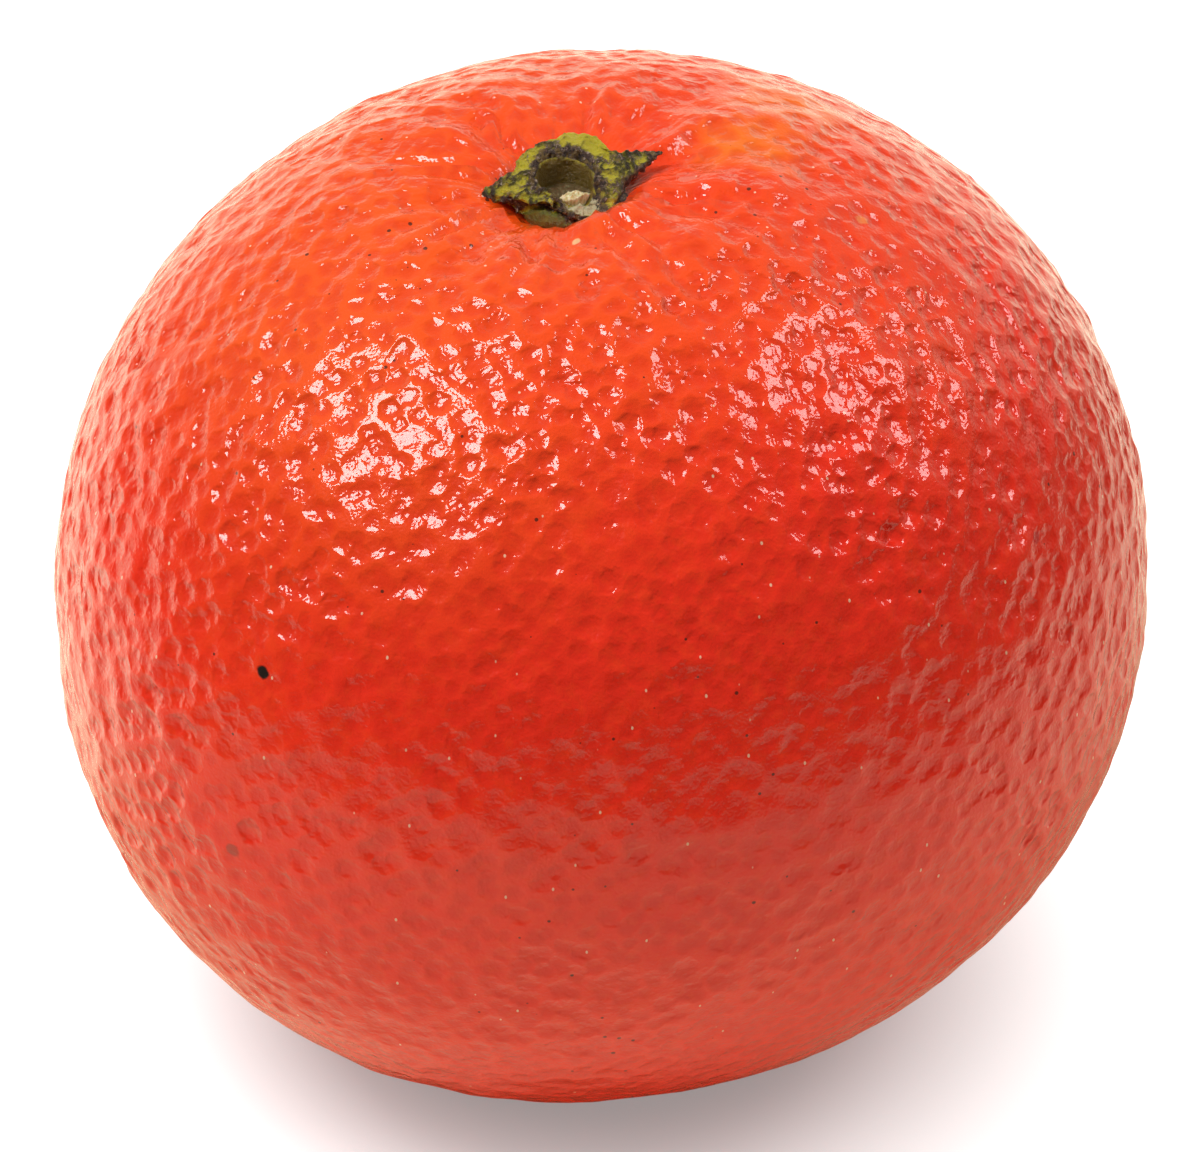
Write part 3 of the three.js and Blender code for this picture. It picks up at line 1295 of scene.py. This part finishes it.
    def build(self) -> bpy.types.Object:
        """Builds the calyx and dresses it.

        Returns:
            The calyx.
        """
        edge_angle, reach = self.outline()
        radii, heights = (self.curve(knots, self.steps) for knots in self.profile(edge_angle, reach))
        rows, columns = radii.shape
        row = np.repeat(np.arange(rows) / self.steps, columns)
        outward = smooth_step(row, 4.0, 9.0).reshape(rows, columns)
        even = np.linspace(0.0, TURN, columns, endpoint=False)
        angle = (even + (edge_angle - even) * outward).ravel()
        radii, heights = radii.ravel(), heights.ravel()
        points = round_points(self.stem, radii, angle, heights)
        piece = new_piece("calyx_button", points, ring_faces(rows, columns))
        cork = self.crust(points, row, angle)
        rough = fractal(points, self.rough_size, 4, seed=1.0)
        lumps = 3.2 * np.abs(fractal(points, self.lump_size, 3, seed=2.0)) - 0.7
        past = np.maximum(radii - self.root_radius, 0.0)
        rings = np.sin(past * TURN / self.ridge_pitch + 1.5 * lumps)
        rings *= smooth_step(past, 0.2 * MM, 0.9 * MM)
        outer = smooth_step(row, 3.0, 4.6) * (1.0 - smooth_step(row, 10.6, 12.4))
        relief = (self.rough_height * rough * (0.6 + 1.4 * cork) + self.lump_height * lumps
                  + self.ridge_height * rings + self.cork_height * cork) * outer
        relief *= 1.0 - 0.6 * bell(row, 9.2, 1.0)
        relief += 0.03 * MM * rough * (1.0 - outer)
        move_points(piece, points + relief[:, None] * point_normals(piece))
        store(piece, self.CORK, "FLOAT", "POINT", cork)
        # The stored height drives the material's painted shade in the low places and, partly, its painted
        # highlight on raised lumps; the hump's share turns the back hump yellow and keeps the painted
        # shade off it.
        hump = 0.8 * bell(angle_between(angle, self.hump_degrees), 0.0, 0.50) * bell(row, 8.0, 1.8)
        store(piece, self.HEIGHT, "FLOAT", "POINT", smooth_step(relief, -0.22 * MM, 0.22 * MM) + hump)
        torn = bell(row, 5.4, 1.5) * bell(angle_between(angle, self.notch_degrees), 0.0, 0.62)
        store(piece, self.TORN, "FLOAT", "POINT", torn)
        store(piece, self.SOCKET, "FLOAT", "POINT", 1.0 - smooth_step(row, 3.6, 4.5))
        store(piece, self.WALL, "FLOAT", "POINT", smooth_step(row, 10.4, 11.6))
        piece.data.materials.append(self.finish.material())
        return piece


@dataclass
class StemWood:
    """The torn stem wood: a ragged pale lining, high on one side of the socket."""

    BROWN_SHARE = "brown_share"

    stem: Vector
    finish: WoodFinish
    socket_radius: float = 1.45 * MM
    floor: float = 0.28 * MM
    high: float = 1.28 * MM
    low: float = 0.40 * MM
    high_degrees: float = 298
    fibre_size: float = 0.22 * MM
    fibre_height: float = 0.09 * MM
    lump_size: float = 0.75 * MM
    lump_height: float = 0.08 * MM
    rows: int = 60
    skirt_rows: int = 12
    columns: int = 200

    def build(self) -> bpy.types.Object:
        """Builds the stem wood and dresses it.

        Returns:
            The stem wood.
        """
        share = np.repeat(np.linspace(0.0, 1.0, self.rows), self.columns)
        angle = np.tile(np.linspace(0.0, TURN, self.columns, endpoint=False), self.rows)
        side = bell(angle_between(angle, self.high_degrees), 0.0, 1.05)
        radius = self.socket_radius * share * (0.95 + 0.07 * side)
        slope = smooth_step(share, 0.0, 0.6)
        height = self.floor + slope * (self.low + (self.high - self.low) * side)
        points = round_points(self.stem, radius, angle, height)
        ragged = fractal(points * np.array([1.0, 0.8, 0.5]), self.fibre_size, 4, seed=8.0)
        lumps = fractal(points, self.lump_size, 2, seed=9.0)
        torn = self.fibre_height * ragged + self.lump_height * lumps
        points[:, 2] += slope * (0.5 + side) * torn
        # Brown everywhere but the high, outer part on one side of the socket, with ragged edges.
        brown_share = np.clip(1.0 - smooth_step(side * slope, 0.26, 0.56) + 0.3 * ragged, 0.0, 1.0)
        edge = points[-self.columns:]
        foot = self.stem.z + 0.5 * self.floor
        for drop in np.linspace(0.0, 1.0, self.skirt_rows + 1)[1:]:
            lower = edge.copy()
            lower[:, 2] += (foot - edge[:, 2]) * drop
            points = np.concatenate([points, lower])
            brown_share = np.concatenate([brown_share, brown_share[-self.columns:]])
        faces = ring_faces(self.rows + self.skirt_rows, self.columns, flipped=True)
        piece = new_piece("stem_wood_torn", points, faces)
        store(piece, self.BROWN_SHARE, "FLOAT", "POINT", brown_share)
        piece.data.materials.append(self.finish.material())
        return piece


# ---------------------------------------------------------------------------------------------
# The studio


@dataclass(frozen=True)
class Softbox:
    """A square studio light that faces the fruit."""

    name: str
    place: tuple[float, float, float]
    side: float
    radiance: float
    colour: Colour = (1.0, 1.0, 1.0)

    def build(self, aim: Vector) -> bpy.types.Object:
        """Hangs the light.

        Args:
            aim: The point that it faces.

        Returns:
            The light.
        """
        lamp = bpy.data.lights.new(self.name, "AREA")
        lamp.shape = "SQUARE"
        lamp.size = self.side
        lamp.energy = self.radiance * math.pi * self.side**2
        lamp.color = self.colour
        light = bpy.data.objects.new(self.name, lamp)
        light.location = aim + Vector(self.place)
        light.rotation_euler = (aim - light.location).to_track_quat("-Z", "Y").to_euler()
        bpy.context.scene.collection.objects.link(light)
        return light


@dataclass
class Studio:
    """A plain pale floor, soft light from both sides, and the camera."""

    elevation: float = 36.0
    distance: float = 0.470
    view_width: float = 66.15 * MM
    sensor_width: float = 36.0
    aim_shift: tuple[float, float] = (-0.23 * MM, -0.29 * MM)
    floor_reach: float = 4.0
    floor_colour: Colour = (0.42, 0.42, 0.42)
    floor_bounce: Colour = (0.94, 0.68, 0.46)
    floor_pale: Colour = (0.90, 0.72, 0.56)
    floor_beyond: Colour = (0.20, 0.14, 0.10)
    room_colour: Colour = (1.0, 0.84, 0.66)
    sheet_reach: float = 75 * MM
    rear_glow: float = 0.48
    room_front: float = 0.20
    room_back: float = 0.44
    horizon_glow: float = 0.50
    lights: tuple[Softbox, ...] = (
        Softbox("softbox_left", (-0.40, -0.17, 0.77), 0.385, 12.8),
        Softbox("softbox_right", (0.66, 0.12, 0.64), 0.345, 6.7),
    )

    def camera(self, middle: Vector) -> None:
        """Sets the camera, which looks from the front and above.

        Args:
            middle: The fruit's middle.
        """
        tilt = math.radians(self.elevation)
        back = Vector((0.0, -math.cos(tilt), math.sin(tilt)))
        up = Vector((0.0, math.sin(tilt), math.cos(tilt)))
        aim = middle + Vector((1.0, 0.0, 0.0)) * self.aim_shift[0] + up * self.aim_shift[1]
        lens = bpy.data.cameras.new("studio_camera")
        lens.sensor_width = self.sensor_width
        lens.lens = lens.sensor_width * self.distance / self.view_width
        lens.clip_start, lens.clip_end = 0.01, 20.0
        camera = bpy.data.objects.new("studio_camera", lens)
        camera.location = aim + back * self.distance
        camera.rotation_euler = back.to_track_quat("Z", "Y").to_euler()
        bpy.context.scene.collection.objects.link(camera)
        bpy.context.scene.camera = camera

    def floor(self) -> None:
        """Lays the floor, which glows plain white for the camera away from the fruit; the glow is dimmed
        round the fruit, a painted shadow over the real one.
        """
        reach = self.floor_reach
        signs = ((-1, -1, 0), (1, -1, 0), (1, 1, 0), (-1, 1, 0))
        points = reach * np.array(signs, float)
        piece = new_piece("studio_floor", points, np.array([[0, 1, 2, 3]]))
        graph = Graph("floor_white")
        graph.set(Roughness=0.6, Specular_IOR_Level=0.2)
        away = graph.vector("LENGTH", graph.place).outputs["Value"]
        seen = graph.tree.nodes.new("ShaderNodeLightPath").outputs["Is Camera Ray"]
        paper = graph.blend(graph.ease(away, 32 * MM, 75 * MM), self.floor_bounce, self.floor_pale)
        near = graph.ease(away, 0.9 * self.sheet_reach, 2.6 * self.sheet_reach, 1.0, 0.0)
        rearward = graph.vector("DOT_PRODUCT", graph.place, (-0.40, 0.92, 0.0)).outputs["Value"]
        behind = graph.ease(graph.math("DIVIDE", rearward, away), 0.20, 0.65)
        bounce = graph.blend(graph.math("MAXIMUM", near, behind), self.floor_beyond, paper)
        graph.set(Base_Color=graph.blend(seen, bounce, self.floor_colour))
        # Painted shadow: the floor glows for the camera, less near the fruit.
        glow_with_painted_shadow = graph.ease(away, 13 * MM, 32 * MM, 0.27, 1.0)
        sheen = graph.times(behind, graph.ease(away, 26 * MM, 55 * MM, 0.0, self.rear_glow))
        sheen = graph.times(sheen, graph.math("SUBTRACT", 1.0, seen))
        graph.set(
            Emission_Color=graph.blend(seen, self.room_colour, (1.0, 1.0, 1.0)),
            Emission_Strength=graph.math("MULTIPLY_ADD", glow_with_painted_shadow, seen, sheen),
        )
        piece.data.materials.append(graph.material)

    def surroundings(self) -> None:
        """Sets a pale room, brighter behind and along the horizon, that the camera sees as white."""
        world = bpy.data.worlds.new("pale_room")
        world.use_nodes = True
        room = Nodes(world.node_tree, "Generated")
        axes = room.axes()
        wall = room.ease(axes["Y"], -0.3, 0.8, self.room_front, self.room_back)
        behind = room.ease(axes["Y"], 0.1, 0.6)
        band = room.times(behind, room.ease(axes["Z"], 0.12, 0.42, 1.0, 0.0))
        lit, seen = (room.tree.nodes.new("ShaderNodeBackground") for _ in range(2))
        room.feed(lit.inputs["Color"], self.room_colour)
        room.feed(lit.inputs["Strength"], room.math("MULTIPLY_ADD", band, self.horizon_glow, wall))
        room.feed(seen.inputs["Color"], (1.0, 1.0, 1.0))
        mix = room.tree.nodes.new("ShaderNodeMixShader")
        path = room.tree.nodes.new("ShaderNodeLightPath")
        output = room.tree.nodes.new("ShaderNodeOutputWorld")
        room.feed(mix.inputs[0], path.outputs["Is Camera Ray"])
        room.feed(mix.inputs[1], lit.outputs[0])
        room.feed(mix.inputs[2], seen.outputs[0])
        room.feed(output.inputs[0], mix.outputs[0])
        bpy.context.scene.world = world

    def build(self, middle: Vector) -> None:
        """Builds the whole studio.

        Args:
            middle: The fruit's middle.
        """
        self.camera(middle)
        self.floor()
        self.surroundings()
        for light in self.lights:
            light.build(middle)
        bpy.context.scene.view_settings.view_transform = "Standard"


# ---------------------------------------------------------------------------------------------
# The whole


BLEMISHES = (
    Blemish(232.9, 19.6, 0.40 * MM, (0.010, 0.006, 0.005)),
    Blemish(231.0, -1.2, 0.45 * MM, (0.25, 0.05, 0.03), 0.6),
    Blemish(-7.9, 60.5, 0.40 * MM, (0.90, 0.36, 0.10), 0.5),
    Blemish(257.0, 75.6, 0.30 * MM, (0.90, 0.60, 0.30), 0.8),
    Blemish(-30.0, 24.0, 0.40 * MM, (0.35, 0.02, 0.03), 0.5),
)


def report(piece: bpy.types.Object, node: str) -> None:
    """Fits a finished piece to the frame and logs it.

    Args:
        piece: The piece.
        node: The CAD node that it stands for.
    """
    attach(piece, BODY)
    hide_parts(node)
    log.info("%s stands for %s: %d faces", piece.name, node, len(piece.data.polygons))


def main() -> None:
    """Builds the studio and the three pieces in order."""
    logging.basicConfig(level=logging.INFO, format="%(name)s: %(message)s")
    low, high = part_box("fruit")
    middle = (cad_box[0] + cad_box[1]) / 2
    wood_low, wood_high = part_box("stem_wood")
    stem = Vector(((wood_low.x + wood_high.x) / 2, (wood_low.y + wood_high.y) / 2, wood_low.z))
    Studio().build(middle)
    form = FruitForm(stem)
    peel = Peel(form, Glands(form), PeelFinish(blemishes=BLEMISHES))
    report(peel.build(middle, high.z - low.z), "fruit")
    report(Calyx(stem, CalyxFinish()).build(), "calyx")
    report(StemWood(stem, WoodFinish()).build(), "stem_wood")


if __name__ == "__main__":
    main()
